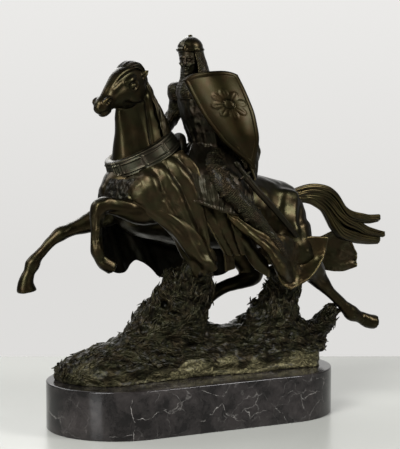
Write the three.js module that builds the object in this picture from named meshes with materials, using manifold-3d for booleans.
// Equestrian statuette: a bronze knight on a galloping horse, cast as one with its rocky ground, on a black
// marble plinth with round ends. Millimetres, +Z up, origin at the centre of the plinth's underside. The horse
// gallops towards -X, and its left side, where the rider carries the shield, faces -Y.
import * as THREE from "three";
import { mergeVertices } from "three/addons/utils/BufferGeometryUtils.js";
import Module from "manifold-3d";

const wasm = await Module();
wasm.setup();

// Driving sizes
const PLINTH_LENGTH = 300;
const PLINTH_WIDTH = 140;
const PLINTH_HEIGHT = 46;
const PLINTH_EDGE = 1.6; // rounding of the plinth's two rims
const GROUP_HEIGHT = 329; // from the plinth's top to the tip of the helmet
const GROUND_MARGIN = 5; // least bare marble left round the bronze ground
const GROUND_RIM = 9; // height of the ground's edge above the marble
const CLOTH = 2.6; // thickness of cast cloth
const SHIELD_WIDTH = 49;
const SHIELD_LENGTH = 95;
const SHIELD_THICKNESS = 3;
const SHIELD_BULGE = 11;
const COLLAR_WIDTH = 17; // the breast collar, measured along the neck
const COLLAR_SLOPE = 0.46; // radians
const COLLAR_STAND = 2.2; // how far the collar stands off the coat
const SCABBARD_WIDTH = 6.4;
const SCABBARD_THICKNESS = 4;
const FACET = 0.64; // facets closer than this to their neighbours' surface are merged
const HELMET_BRIM = 1; // how far the helmet's band stands off its bowl

// The figures are laid out in parts, 329 to the height of the group, so a part is a millimetre at the real size.
const PART = GROUP_HEIGHT / 329;
const place = (x, y, z) => new THREE.Vector3(x * PART, y * PART, PLINTH_HEIGHT + z * PART);
const inParts = ({ x, y, z }) => [x / PART, y / PART, (z - PLINTH_HEIGHT) / PART];
const ALONG_X = new THREE.Vector3(1, 0, 0);
const ALONG_Y = new THREE.Vector3(0, 1, 0);

// Catmull-Rom value through rows of numbers at position t, counted in rows
function through(rows, t) {
  const last = rows.length - 1;
  const k = Math.min(Math.floor(t), last - 1);
  const f = t - k;
  const [a, b, c, d] = [-1, 0, 1, 2].map((step) => rows[Math.min(Math.max(k + step, 0), last)]);
  return b.map((_, i) => {
    const bend = 2 * a[i] - 5 * b[i] + 4 * c[i] - d[i];
    const twist = 3 * (b[i] - c[i]) + d[i] - a[i];
    return b[i] + 0.5 * f * (c[i] - a[i] + f * (bend + f * twist));
  });
}

function solidOf(points, triangles) {
  const mesh = new wasm.Mesh({
    numProp: 3,
    vertProperties: new Float32Array(points.flatMap((p) => [p.x, p.y, p.z])),
    triVerts: new Uint32Array(triangles.flat()),
  });
  return new wasm.Manifold(mesh);
}

// A closed body through stations [x, y, z, half width, half depth], in parts: the width runs along `across` and
// the depth square to it. Each end is domed by `dome` times its mean radius. `outline` turns an angle to a point
// of the section of radius one.
const oval = (angle) => [Math.cos(angle), Math.sin(angle)];
function sweep(stations, { sides = 8, steps = 2, across = ALONG_Y, dome = 0.5, outline = oval } = {}) {
  const rings = (stations.length - 1) * steps;
  const points = [];
  const triangles = [];
  const at = (t) => through(stations, t);
  const spot = (t) => place(...at(Math.min(Math.max(t, 0), stations.length - 1)));
  const ring = (t, scale, push) => {
    const tangent = spot(t + 0.05).sub(spot(t - 0.05)).normalize();
    const wide = across.clone().addScaledVector(tangent, -across.dot(tangent)).normalize();
    const deep = tangent.clone().cross(wide);
    const [, , , halfWidth, halfDepth] = at(t).map((v) => v * PART);
    const centre = spot(t).addScaledVector(tangent, push * 0.5 * (halfWidth + halfDepth));
    if (scale === 0) return [centre];
    return Array.from({ length: sides }, (_, j) => {
      const [w, d] = outline((2 * Math.PI * j) / sides);
      return centre.clone().addScaledVector(wide, w * halfWidth * scale).addScaledVector(deep, d * halfDepth * scale);
    });
  };
  const end = stations.length - 1;
  const rows = [];
  if (dome > 0) rows.push(ring(0, 0.68, -dome * 0.7));
  for (let i = 0; i <= rings; i++) rows.push(ring((i / rings) * end, 1, 0));
  if (dome > 0) rows.push(ring(end, 0.68, dome * 0.7));
  const first = ring(0, 0, -dome);
  const final = ring(end, 0, dome);
  points.push(...first, ...rows.flat(), ...final);
  const pole = points.length - 1;
  for (let j = 0; j < sides; j++) {
    const next = (j + 1) % sides;
    triangles.push([0, 1 + next, 1 + j]);
    for (let i = 0; i < rows.length - 1; i++) {
      const low = 1 + i * sides;
      const high = low + sides;
      triangles.push([low + j, low + next, high + next], [low + j, high + next, high + j]);
    }
    const top = 1 + (rows.length - 1) * sides;
    triangles.push([pole, top + j, top + next]);
  }
  return solidOf(points, triangles);
}

// A plate of even thickness on the surface at(u, v), with u and v from 0 to 1
function plate(at, uCount, vCount, thickness) {
  const small = 0.01;
  const front = [];
  const back = [];
  for (let i = 0; i <= uCount; i++) {
    for (let j = 0; j <= vCount; j++) {
      const [u, v] = [i / uCount, j / vCount];
      const du = at(Math.min(u + small, 1), v).sub(at(Math.max(u - small, 0), v));
      const dv = at(u, Math.min(v + small, 1)).sub(at(u, Math.max(v - small, 0)));
      const normal = du.cross(dv).normalize();
      front.push(at(u, v).addScaledVector(normal, thickness / 2));
      back.push(at(u, v).addScaledVector(normal, -thickness / 2));
    }
  }
  const triangles = [];
  const width = vCount + 1;
  const shift = front.length;
  for (let i = 0; i < uCount; i++) {
    for (let j = 0; j < vCount; j++) {
      const [a, b, c, d] = [i * width + j, (i + 1) * width + j, (i + 1) * width + j + 1, i * width + j + 1];
      triangles.push([a, b, c], [a, c, d], [shift + a, shift + c, shift + b], [shift + a, shift + d, shift + c]);
    }
  }
  const wall = (a, b) => triangles.push([b, a, shift + a], [b, shift + a, shift + b]);
  for (let i = 0; i < uCount; i++) {
    wall(i * width, (i + 1) * width);
    wall((i + 1) * width + vCount, i * width + vCount);
  }
  for (let j = 0; j < vCount; j++) {
    wall(j + 1, j);
    wall(uCount * width + j, uCount * width + j + 1);
  }
  return solidOf([...front, ...back], triangles);
}

// A hanging cloth between a top edge and a hem, each a few points in parts: `billow` pushes its middle along
// `out`, and `folds` waves of height `fold` grow towards the hem
function cloth(top, hem, { out, billow = 0, folds = 3, fold = 3, phase = 0, uCount = 14, vCount = 5 }) {
  const away = new THREE.Vector3(...out);
  const surface = (u, v) => {
    const high = place(...through(top, u * (top.length - 1)));
    const low = place(...through(hem, u * (hem.length - 1)));
    const swell = billow * Math.sin(Math.PI * v) + fold * v * Math.sin(2 * Math.PI * (folds * u + phase));
    return high.lerp(low, v).addScaledVector(away, swell * PART);
  };
  return plate(surface, uCount, vCount, CLOTH);
}

const mirror = (stations) => stations.map(([x, y, ...rest]) => [x, -y, ...rest]);

// The horse's trunk, with the shoulders and haunches swelling from it
function horseTrunk() {
  const barrel = [
    [-95, 0, 180, 12, 13], [-80, 0, 180, 25, 27], [-60, 0, 178, 33, 40], [-30, 0, 176, 38, 45],
    [5, 0, 167, 40, 44],
    [40, 0, 160, 39, 40], [70, 0, 156, 36, 37], [94, 0, 155, 32, 32], [110, 0, 151, 24, 25],
    [119, 0, 149, 11, 13],
  ];
  const shoulder = [[-36, -24, 206, 8, 15], [-56, -29, 190, 11, 20], [-74, -27, 172, 11, 16]];
  const haunch = [[92, -18, 171, 13, 20], [89, -26, 150, 15, 26], [84, -30, 130, 12, 20]];
  return [
    sweep(barrel, { sides: 14, steps: 1 }),
    ...[shoulder, haunch].flatMap((rows) => [rows, mirror(rows)]).map((rows) => sweep(rows, { sides: 10, steps: 1 })),
  ];
}

const NECK = [
  [-50, 0, 186, 26, 40], [-52, -1, 208, 22, 34], [-56, -3, 238, 15.5, 28], [-61.5, -5, 257, 12, 23.5],
  [-65.5, -7, 272, 11, 18.5], [-69, -8, 286, 10, 14],
];
function horseNeckAndHead() {
  const head = [
    [-64, -9, 287, 9, 15], [-75, -13, 281.5, 11.5, 18.5], [-86, -17, 275, 10, 15], [-97, -22, 269.5, 8, 12],
    [-105, -27, 265, 7.6, 10.2], [-110, -30, 261.5, 8, 8.5], [-114, -32, 260, 6, 6],
  ];
  const ear = [[-65, -15, 291.5, 3.6, 4.8], [-60, -16, 291, 3.2, 4.2], [-56, -16, 287, 1.5, 2]];
  const farEar = mirror(ear).map(([x, y, z, ...size]) => [x - 2, y - 16, z + 3, ...size]);
  const forelock = [[-60, -8, 298.5, 5, 5], [-71, -11, 300.5, 6.5, 4.5], [-79, -14, 297, 5, 4],
    [-87, -17, 290.5, 3, 3]];
  const brow = [[-74, -23, 286, 3, 3.4], [-79, -24.5, 285, 3.6, 3.6], [-84, -25, 281, 2.4, 2.6]];
  const nostril = [[-108, -35, 271, 2.4, 3], [-113, -37, 268, 2.8, 3.6]];
  return [
    sweep(NECK, { sides: 12, steps: 1 }),
    sweep(head, { sides: 12, steps: 1 }),
    ...[ear, farEar, brow, nostril].map((rows) => sweep(rows, { sides: 6, steps: 1 })),
    sweep(forelock, { sides: 8, steps: 1 }),
  ];
}

// A leg is a row of stations ending at the pastern, and a hoof that flares to its flat sole
function leg(stations, hoof) {
  return [sweep(stations, { sides: 8, steps: 1 }), sweep(hoof, { sides: 9, steps: 1, dome: 0 })];
}

function horseLegs() {
  const nearFore = [
    [-52, -28, 170, 13, 19], [-70, -30, 164, 10.5, 13.5], [-88, -30, 167, 8.5, 10], [-104, -30, 170, 7, 8],
    [-113, -30, 169, 7.4, 8.4], [-116, -30, 160, 6.2, 7], [-116.5, -30, 147, 5.8, 6], [-116.5, -30, 135, 5.8, 6],
    [-116, -30, 128, 6, 6.4], [-112.5, -30, 121.5, 5.4, 5.8],
  ];
  const farFore = [
    [-56, 26, 172, 12, 18], [-75, 26, 161, 10, 15], [-96, 26, 150.5, 8.5, 10.4], [-113, 26, 145.5, 7, 7.2],
    [-129, 26, 140, 7, 7.4], [-137, 26, 134.5, 5.6, 5.6], [-146, 26, 126, 5, 5.2], [-153, 26, 118.5, 5.6, 6.2],
    [-158, 26, 111.5, 6.4, 7.4], [-161.5, 26, 104.5, 5.2, 5.6],
  ];
  const nearHind = [
    [92, -30, 136, 16, 26], [98, -36, 118, 13, 20], [110, -35, 105, 10, 15.5], [121, -31, 97, 8.5, 13],
    [129, -28, 88.5, 7.6, 10.4], [137, -28, 79.5, 6.2, 7.6], [145, -28, 71.5, 5.4, 6.2],
    [154, -28, 63.5, 5.4, 5.8],
    [163, -28, 55.2, 6.2, 6.6], [170, -28, 49.5, 6.6, 8.2], [179, -28, 45.5, 5.2, 5.6],
  ];
  const farHind = [
    [70, 28, 138, 15, 26], [69, 31, 118, 13, 19], [78, 29, 102, 10, 13], [86, 27, 89.5, 8.4, 10.6],
    [74, 26, 83.5, 7, 8.4], [57, 26, 80, 6, 7], [44, 26, 75.5, 5.8, 6.8], [31, 26, 68.5, 6.8, 7.4],
    [22, 26, 62, 5.4, 5.8],
  ];
  return [
    ...leg(nearFore, [[-113, -30, 122, 5.8, 6], [-108, -29.5, 117, 7, 7], [-99.5, -29, 112, 8.2, 8]]),
    ...leg(farFore, [[-162, 26, 103.5, 6, 6.2], [-164.6, 26, 95, 7.2, 7.6], [-163.8, 26, 86.5, 8.8, 10.4]]),
    ...leg(nearHind, [[180, -28, 45, 5.8, 6.4], [189.5, -28, 40.8, 7.4, 7.8], [198.8, -28, 38.8, 8.2, 7.6]]),
    ...leg(farHind, [[22, 26, 62, 6, 6.5], [15, 26, 55, 7.5, 8], [8, 26, 47, 8.5, 9.5]]),
  ];
}

// Locks of hair: seven down the near side of the neck from the crest, and three twisting into the tail
function maneAndTail() {
  const crest = [[-58, 289], [-54, 280], [-49.5, 270], [-44, 260], [-38.5, 251], [-33, 244], [-29.5, 238]];
  const locks = crest.map(([x, z]) => [
    [x, -3, z, 5, 5], [x - 5, -14, z - 8, 4, 6], [x - 7, -18, z - 22, 3, 5], [x - 4, -21, z - 34, 1.5, 2.5],
  ]);
  const tail = [
    [[112, 1, 170.5, 6, 6], [128, 1, 174.5, 6, 6], [139, 1.5, 175.5, 6, 6], [150, 2, 174.5, 6, 6],
     [160, 3, 171.5, 6, 6],
      [168, 3.5, 165.5, 6, 6], [175, 4, 157.5, 5.6, 5.6], [182, 5, 150.5, 5.6, 5.2], [191, 5.5, 146, 5.4, 5],
      [203, 6, 143.8, 5, 4.6], [213, 7, 142, 4.4, 4], [226, 8, 142.4, 4, 4]],
    [[112, 3, 168, 6, 6], [136, 4, 170, 6.6, 6.6], [150, 5, 168, 6.8, 6.8], [162, 6, 160, 6.8, 6.8],
      [172, 7, 150, 6.6, 6.6], [184, 8, 142, 6.6, 6.4], [198, 9, 136.5, 6, 5.6], [213, 10, 129, 4.6, 4.4],
      [234, 10, 124.5, 3.4, 3.4]],
    [[112, 2, 166, 5, 5], [127, 3, 168, 5.2, 5.2], [137, 3, 167, 5.6, 5.6], [146, 4, 163, 5.6, 5.6],
      [155, 5, 157.5, 5.6, 5.6], [162.5, 6, 148.5, 6, 6], [170, 8, 139, 6.4, 6], [181, 10, 129.5, 6.4, 6],
      [198, 11, 123.5, 5.6, 5.2], [213, 12, 120.5, 4.8, 4.4], [229, 12, 118.8, 4, 4]],
  ];
  return [
    ...locks.map((rows) => sweep(rows, { sides: 5, steps: 1, dome: 0.3 })),
    ...tail.map((rows) => sweep(rows, { sides: 7, steps: 1 })),
  ];
}

// The breast collar: a raised band round the foot of the neck, its plane dropping by COLLAR_SLOPE towards the chest
function collar() {
  const half = COLLAR_WIDTH / PART / 2;
  const stand = COLLAR_STAND / PART;
  const [lean, upright] = [Math.sin(COLLAR_SLOPE), Math.cos(COLLAR_SLOPE)];
  const rows = [[-1, 0], [-0.85, stand], [0.85, stand], [1, 0]].map(([k, edge]) => {
    const rise = half * k;
    return [-56 - lean * rise, -1, 217 + upright * rise, 28 - 0.42 * rise + edge, 33.5 - 0.16 * rise + edge];
  });
  return [sweep(rows, { sides: 18, steps: 1, dome: 0 })];
}

// The heater shield bulges outwards and its top edge arches. A point on its middle surface is given by u, from its
// top edge to its tip, and v, across it. WIDTHS are shares of half the shield's width at positions u.
const WIDTHS = [
  [0, 1], [0.14, 1], [0.28, 0.97], [0.42, 0.92], [0.56, 0.8], [0.7, 0.64], [0.84, 0.34], [0.94, 0.1], [1, 0.02],
];
function shieldPoint(u, v) {
  const across = new THREE.Vector3(44.5, -21.1, 4.2).normalize();
  const down = new THREE.Vector3(31.3, -28.7, -85.7).normalize();
  const out = down.clone().cross(across).normalize();
  const k = Math.min(WIDTHS.findIndex(([at]) => at >= u) || 1, WIDTHS.length - 1);
  const [[u0, w0], [u1, w1]] = [WIDTHS[k - 1], WIDTHS[k]];
  const width = w0 + ((w1 - w0) * (u - u0)) / (u1 - u0);
  const side = 2 * v - 1;
  const arch = 4.2 * (1 - side ** 4) * (1 - u);
  const bulge = SHIELD_BULGE * (1 - side * side) * width + 5 * Math.sin(Math.PI * u);
  return place(1.3, -36, 288.7).addScaledVector(across, (side * width * SHIELD_WIDTH) / 2)
    .addScaledVector(down, u * SHIELD_LENGTH - arch).addScaledVector(out, bulge);
}
const shield = () => [plate(shieldPoint, 12, 8, SHIELD_THICKNESS)];

// Surcoat, mail, helmet and limbs of the rider
function rider() {
  const turned = new THREE.Vector3(-0.31, 0.95, 0); // the chest turns to the shield side
  const looking = new THREE.Vector3(-0.64, 0.77, 0); // and the head more so
  const torso = [
    [12, 0, 196, 24, 20], [12, -1, 214, 17, 14], [12, -1, 229, 15.5, 13], [8, -1, 247, 18.5, 14.5],
    [4, -1, 265, 21.5, 14], [2, -1, 276, 18, 11], [0, -2, 283, 9, 9],
  ];
  const skirt = [[10, 0, 218, 19, 15], [9, 0, 204, 28, 22], [9, 0, 190, 42, 30], [9, 0, 176, 47, 36]];
  const cap = [[-6, 21, 280, 8, 7.4], [-3, 24, 272, 6.8, 6.8]];
  const rightArm = [[-3, 24, 274, 6, 6], [-1, 28, 264, 6.2, 6.2], [-1, 31, 256, 6.8, 6.8], [-6, 30, 249, 7, 7],
    [-14, 24, 242, 5.6, 5.6], [-22, 17, 236, 5, 5]];
  const [strapX, strapY, strapZ] = inParts(shieldPoint(0.42, 0.42)); // the hand closes on the strap behind the shield
  const leftArm = [[9, -24, 271, 8, 8], [18, -32, 260, 7.5, 7.5], [22, -40, 251, 7, 7], [14, -47, 252, 6, 6],
    [strapX + 1, strapY + 2.5, strapZ, 5, 5]];
  const leftLeg = [[16, -14, 208, 14, 15], [4, -34, 200, 12, 14], [8, -48, 188, 10.5, 12],
    [20, -52, 174, 9, 10.5],
    [36, -54, 158, 8.5, 9.5], [49, -55, 144, 7, 7.5], [58, -56, 134, 5.5, 6.5], [66, -58, 126, 4.5, 5.5]];
  const head = [[-3, -4, 276, 9, 9], [-6, -6, 286, 9, 9.5], [-6, -6, 296, 10, 11], [-5, -5, 306, 11, 12],
    [-4, -4, 316, 10.5, 11.5]];
  const bowl = [[-4.2, -4.4, 308, 12.2, 12.8], [-4, -4.2, 315, 11.7, 12.3], [-3.8, -4, 321, 9.6, 10],
    [-3.8, -4, 325.4, 6, 6.2], [-3.8, -4, 327.8, 2.4, 2.4]];
  const band = HELMET_BRIM / PART;
  const brim = [[-4, -4.2, 305, 11.4 + band, 12 + band], [-4, -4.2, 309, 11.6 + band, 12.2 + band]];
  const hood = [[1, -2, 277, 18, 15], [2, -2, 288, 15, 13.2], [1, -2, 299, 12.8, 12.6], [-2, -3, 308, 12, 12]];
  const nose = [[-12.5, -11.5, 302, 1.6, 2], [-15, -13.5, 296, 2, 2.6]];
  const limb = { sides: 8, across: ALONG_X, steps: 1 };
  return [
    sweep(torso, { sides: 12, across: turned, steps: 1 }),
    sweep(skirt, { sides: 14, steps: 1 }),
    ...[cap, rightArm, leftArm, leftLeg, mirror(leftLeg)].map((rows) => sweep(rows, limb)),
    ...[head, hood].map((rows) => sweep(rows, { sides: 10, across: looking, steps: 1 })),
    sweep(bowl, { sides: 12, across: looking, steps: 1, dome: 0.6 }),
    sweep(brim, { sides: 12, across: looking, steps: 1, dome: 0 }),
    sweep(nose, { sides: 5, across: looking, steps: 1 }),
  ];
}

function scabbard() {
  const [wide, thick] = [SCABBARD_WIDTH / PART / 2, SCABBARD_THICKNESS / PART / 2];
  const rows = [[20, -46, 203, thick, wide], [59, -50, 165, thick, wide], [94, -44, 133, thick, wide * 0.7]];
  const grip = [[24, -46, 199, 3, 4.5], [16, -47, 208, 2.4, 2.8], [10, -47, 215, 3, 3.4]];
  return [sweep(rows, { sides: 6, steps: 1 }), sweep(grip, { sides: 6, steps: 1 })];
}

// Trapper, surcoat tails, saddle cloth and cloak: the hanging and flying cloths
function cloths() {
  const nearBreast = cloth(
    [[-84, -12, 194], [-76, -30, 199], [-62, -35, 207], [-44, -33, 215], [-26, -28, 221]],
    [[-88, -20, 172], [-68, -38, 166], [-44, -45, 150], [-24, -47, 134], [-6, -44, 124]],
    { out: [-0.2, -1, 0], billow: 2, folds: 4, fold: 2.4 },
  );
  const nearRoll = sweep(
    [[-80, -32, 173, 3, 3], [-65, -38, 166, 5, 6], [-51, -42, 158, 7, 8], [-38, -44, 147, 9, 10],
     [-26, -44, 133, 10, 12],
      [-13, -42, 118, 11, 12.5], [-7, -40, 110, 10, 12]],
    { sides: 9, steps: 1, dome: 0.2 },
  );
  const farBreast = cloth(
    [[-86, 8, 200], [-78, 28, 203], [-50, 38, 205], [-10, 41, 200], [30, 42, 190], [66, 38, 180]],
    [[-84, 22, 114], [-68, 34, 100], [-55, 36, 100], [-42, 38, 110], [-28, 39, 103], [-12, 40, 91], [8, 41, 95],
      [24, 42, 101], [42, 42, 90], [58, 42, 90], [74, 41, 102]],
    { out: [-0.1, 1, 0], billow: 3, folds: 3, fold: 2.4, uCount: 18 },
  );
  const nearSaddle = cloth(
    [[-24, -40, 176], [0, -43, 170], [26, -43, 168], [52, -39, 160]],
    [[16, -42, 119], [25, -44, 119], [35, -43, 120], [48, -38, 122]],
    { out: [0, -1, 0], billow: 1.5, folds: 4, fold: 1.6, uCount: 10, vCount: 3 },
  );
  const nearTail = cloth(
    [[-16, -18, 224], [8, -22, 222], [30, -18, 218]],
    [[-27, -44, 174], [-6, -52, 166], [8, -54, 161], [40, -50, 154]],
    { out: [0, -1, 0], billow: 4, folds: 3, fold: 1.5, uCount: 8, vCount: 4 },
  );
  const farTail = cloth(
    [[-16, 18, 224], [8, 22, 222], [30, 18, 218]],
    [[-27, 44, 174], [-6, 52, 166], [8, 54, 161], [40, 50, 154]],
    { out: [0, 1, 0], billow: 4, folds: 3, fold: 1.5, uCount: 8, vCount: 4 },
  );
  const nearCape = cloth(
    [[8, -46, 164], [24, -53, 152], [42, -54, 141], [60, -52, 131], [84, -46, 128], [105, -43, 127],
     [127, -44, 130]],
    [[16, -50, 150], [30, -56, 127], [45, -60, 104], [60, -62, 90], [78, -60, 84], [100, -54, 93],
     [118, -50, 113]],
    { out: [0.1, -1, -0.1], billow: 6, folds: 1, fold: 2, phase: 0.2, uCount: 14, vCount: 4 },
  );
  const nearCapeLayer = cloth(
    [[14, -42, 160], [24, -44, 148], [40, -46, 131], [58, -44, 112]],
    [[20, -42, 142], [32, -43, 125], [46, -44, 106], [60, -46, 96]],
    { out: [0, -1, 0], billow: 3, folds: 1, fold: 1, uCount: 6, vCount: 2 },
  );
  const farCape = cloth(
    [[40, 42, 172], [86, 43, 154], [120, 39.5, 134], [146, 28, 123], [166, 22, 125], [182, 20, 130],
     [196, 19, 121],
      [207, 20, 104]],
    [[50, 46, 112], [84, 54, 99], [114, 53, 96], [138, 46, 95], [160, 38, 93], [180, 30, 88], [196, 25, 87],
      [208, 22, 91]],
    { out: [0.1, 1, 0], billow: 6, folds: 2.5, fold: 3, phase: 0.2 },
  );
  const cloak = cloth(
    [[8, 22, 276], [14, 14, 278], [17, -2, 278], [20, -16, 276], [18, -26, 270]],
    [[38, 34, 194], [60, 18, 192], [67, 0, 190], [60, -18, 190], [48, -31, 190]],
    { out: [1, 0, 0.1], billow: 15, folds: 3, fold: 2.4, uCount: 12, vCount: 4 },
  );
  const girthEnd = cloth([[24, -22, 131], [31, -22, 131]], [[27, -20, 101], [36, -20, 103]],
    { out: [0, -1, 0], folds: 1, fold: 0.5, uCount: 2, vCount: 2 });
  return [
    nearBreast, nearRoll, farBreast, nearSaddle, nearTail, farTail, nearCape, nearCapeLayer, farCape, cloak, girthEnd,
  ];
}

function saddle() {
  const pommel = [[-16, -11, 222, 5, 6], [-14, 0, 229, 6, 7], [-16, 11, 222, 5, 6]];
  const cantle = [[44, -16, 196, 5, 6], [47, 0, 203, 6, 8], [44, 16, 196, 5, 6]];
  return [pommel, cantle].map((rows) => sweep(rows, { sides: 8, steps: 1, across: ALONG_X }));
}

// Round-ended outline, as `count` points at angles of equal step on the two ends and the straights between them
function roundEnded(length, width, count) {
  const radius = width / 2;
  const straight = length - width;
  const girth = 2 * straight + 2 * Math.PI * radius;
  return Array.from({ length: count }, (_, k) => {
    let run = (k / count) * girth;
    if (run < straight) return [-straight / 2 + run, -radius];
    run -= straight;
    if (run < Math.PI * radius) {
      const a = -Math.PI / 2 + run / radius;
      return [straight / 2 + radius * Math.cos(a), radius * Math.sin(a)];
    }
    run -= Math.PI * radius;
    if (run < straight) return [straight / 2 - run, radius];
    run -= straight;
    const a = Math.PI / 2 + run / radius;
    return [-straight / 2 + radius * Math.cos(a), radius * Math.sin(a)];
  });
}

// Repeatable roughness from -1 to 1
const rough = (a, b) => {
  const s = Math.sin(a * 127.1 + b * 311.7) * 43758.5453;
  return 2 * (s - Math.floor(s)) - 1;
};

// The ground along its length, in parts: [x, front edge, back edge, crest]. Its edge keeps inside the plinth's by
// GROUND_MARGIN whatever the plinth's size.
const GROUND = [
  [-138, 8, 22, 12], [-135, -3, 28, 20], [-129, -14, 32, 26], [-120, -26, 35, 29], [-109, -36, 38, 31],
  [-98, -38, 39, 33], [-86, -38, 38, 37], [-74, -36, 37, 45], [-61, -34, 38, 53], [-46, -33, 40, 58],
  [-30, -32, 41, 60], [-14, -31, 40, 62], [0, -31, 38, 58], [12, -32, 36, 50], [26, -34, 36, 45],
  [40, -36, 38, 44],
  [53, -38, 40, 47], [64, -36, 41, 52], [76, -34, 40, 58], [94, -33, 38, 60], [109, -35, 38, 51],
  [119, -37, 37, 46],
  [127, -34, 34, 42], [134, -23, 31, 35], [140, -12, 25, 25], [144, -2, 15, 12],
];

function ground() {
  const ACROSS = 8;
  const [halfLength, halfWidth] = [144, 41].map((size) => size * PART);
  const fitX = Math.min(1, (PLINTH_LENGTH / 2 - GROUND_MARGIN) / halfLength);
  const fitY = Math.min(1, (PLINTH_WIDTH / 2 - GROUND_MARGIN) / halfWidth);
  const top = [];
  const foot = [];
  GROUND.forEach(([x, front, back, crest], i) => {
    const [along, near, far] = [x * PART * fitX, front * PART * fitY, back * PART * fitY];
    for (let j = 0; j <= ACROSS; j++) {
      const s = j / ACROSS;
      const inside = i > 0 && i < GROUND.length - 1 && j > 0 && j < ACROSS;
      const swell = Math.sin(Math.PI * s) ** 0.7;
      const jag = inside ? 3.4 * rough(i, j) : 0;
      const shift = inside ? 2 * rough(i, j + 20) : 0;
      const height = Math.max(GROUND_RIM + (crest * PART - GROUND_RIM) * swell + jag, 3);
      top.push(new THREE.Vector3(along + shift, near + (far - near) * s, PLINTH_HEIGHT + height));
    }
    foot.push(new THREE.Vector3(along, near, PLINTH_HEIGHT), new THREE.Vector3(along, far, PLINTH_HEIGHT));
  });
  const width = ACROSS + 1;
  const base = top.length;
  const triangles = [];
  for (let i = 0; i < GROUND.length - 1; i++) {
    for (let j = 0; j < ACROSS; j++) {
      const [a, b, c, d] = [i * width + j, (i + 1) * width + j, (i + 1) * width + j + 1, i * width + j + 1];
      triangles.push([a, b, c], [a, c, d]);
    }
    const [a, b, c, d] = [base + 2 * i, base + 2 * i + 2, base + 2 * i + 3, base + 2 * i + 1];
    triangles.push([a, c, b], [a, d, c]);
    triangles.push([a, b, (i + 1) * width], [a, (i + 1) * width, i * width]);
    triangles.push([c, d, i * width + ACROSS], [c, i * width + ACROSS, (i + 1) * width + ACROSS]);
  }
  for (let j = 0; j < ACROSS; j++) {
    const last = (GROUND.length - 1) * width;
    triangles.push([base, j, j + 1], [base + 2 * GROUND.length - 2, last + j + 1, last + j]);
  }
  triangles.push([base, ACROSS, base + 1]);
  triangles.push([base + 2 * GROUND.length - 2, base + 2 * GROUND.length - 1, GROUND.length * width - 1]);
  const crag = (angle, seed) => {
    const r = 1 + 0.12 * rough(Math.round(angle * 10), seed);
    return [r * Math.cos(angle), r * Math.sin(angle)];
  };
  const spires = [
    [[-26, -1, 28, 28, 50], [-24, -3, 48, 25, 40], [-17, -7, 64, 22, 29], [-15, -13, 82, 20, 27],
     [-10, -21, 96, 18, 20],
      [-8, -31, 106, 14, 12]],
    [[-48, -5, 36, 18, 20], [-45, -7, 60, 14, 12], [-42, -8, 75, 9, 7], [-38, -8, 87, 4, 5]],
    [[-68, -5, 28, 20, 22], [-67, -6, 46, 14, 13], [-64, -6, 58, 7, 7]],
    [[-120, 6, 8, 18, 14], [-122, 6, 20, 12, 9], [-125, 6, 25, 6, 4]],
    [[94, 0, 26, 32, 40], [89, -3, 46, 26, 29], [92.5, -6, 60, 22, 23.5], [95.5, -10, 75, 19, 20],
     [90, -22, 90, 18, 17],
      [85, -32, 100, 15, 14]],
    [[130, -2, 18, 16, 17], [138.5, -7, 32, 14, 15], [146, -15, 45, 10, 11], [151.5, -24, 56, 7, 7.5]],
    [[22, 22, 28, 14, 18], [18, 26, 40, 11, 14], [14, 27, 50, 8, 10]],
  ];
  return [
    solidOf([...top, ...foot], triangles),
    ...spires.map((rows, seed) =>
      sweep(rows, { sides: 10, steps: 1, dome: 0.3, outline: (angle) => crag(angle, seed) })),
  ];
}

function bronzeGeometry() {
  const bodies = [
    ...horseTrunk(), ...horseNeckAndHead(), ...horseLegs(), ...maneAndTail(), ...collar(), ...rider(), ...shield(),
    ...scabbard(), ...cloths(), ...saddle(), ...ground(),
  ];
  const whole = bodies.reduce((sum, body) => sum.add(body));
  return geometryOf(whole.asOriginal().simplify(FACET));
}

function geometryOf(solid) {
  const { vertProperties, triVerts } = solid.getMesh();
  const geometry = new THREE.BufferGeometry();
  geometry.setAttribute("position", new THREE.BufferAttribute(new Float32Array(vertProperties), 3));
  geometry.setIndex(new THREE.BufferAttribute(new Uint32Array(triVerts), 1));
  geometry.computeVertexNormals();
  return geometry;
}

// The plinth: one slab of marble with round ends and both rims rounded
function plinthGeometry() {
  const inner = new THREE.Shape(
    roundEnded(PLINTH_LENGTH, PLINTH_WIDTH, 64).map(([x, y]) => new THREE.Vector2(x, y)),
  );
  const block = new THREE.ExtrudeGeometry(inner, {
    depth: PLINTH_HEIGHT - 2 * PLINTH_EDGE,
    bevelSize: PLINTH_EDGE,
    bevelOffset: -PLINTH_EDGE,
    bevelThickness: PLINTH_EDGE,
    bevelSegments: 2,
    curveSegments: 1,
  });
  block.translate(0, 0, PLINTH_EDGE);
  block.deleteAttribute("normal");
  block.deleteAttribute("uv");
  const closed = mergeVertices(block, 1e-4);
  closed.computeVertexNormals();
  return closed;
}

const bronze = new THREE.MeshStandardMaterial({ color: 0x3b3524, roughness: 0.42, metalness: 0.85 });
const marble = new THREE.MeshStandardMaterial({ color: 0x242424, roughness: 0.2, metalness: 0 });

const statuette = new THREE.Group();
for (const [name, geometry, material] of [
  ["bronze_horse_and_knight", bronzeGeometry(), bronze],
  ["marble_plinth", plinthGeometry(), marble],
]) {
  const piece = new THREE.Mesh(geometry, material);
  piece.name = name;
  statuette.add(piece);
}

export default statuette;
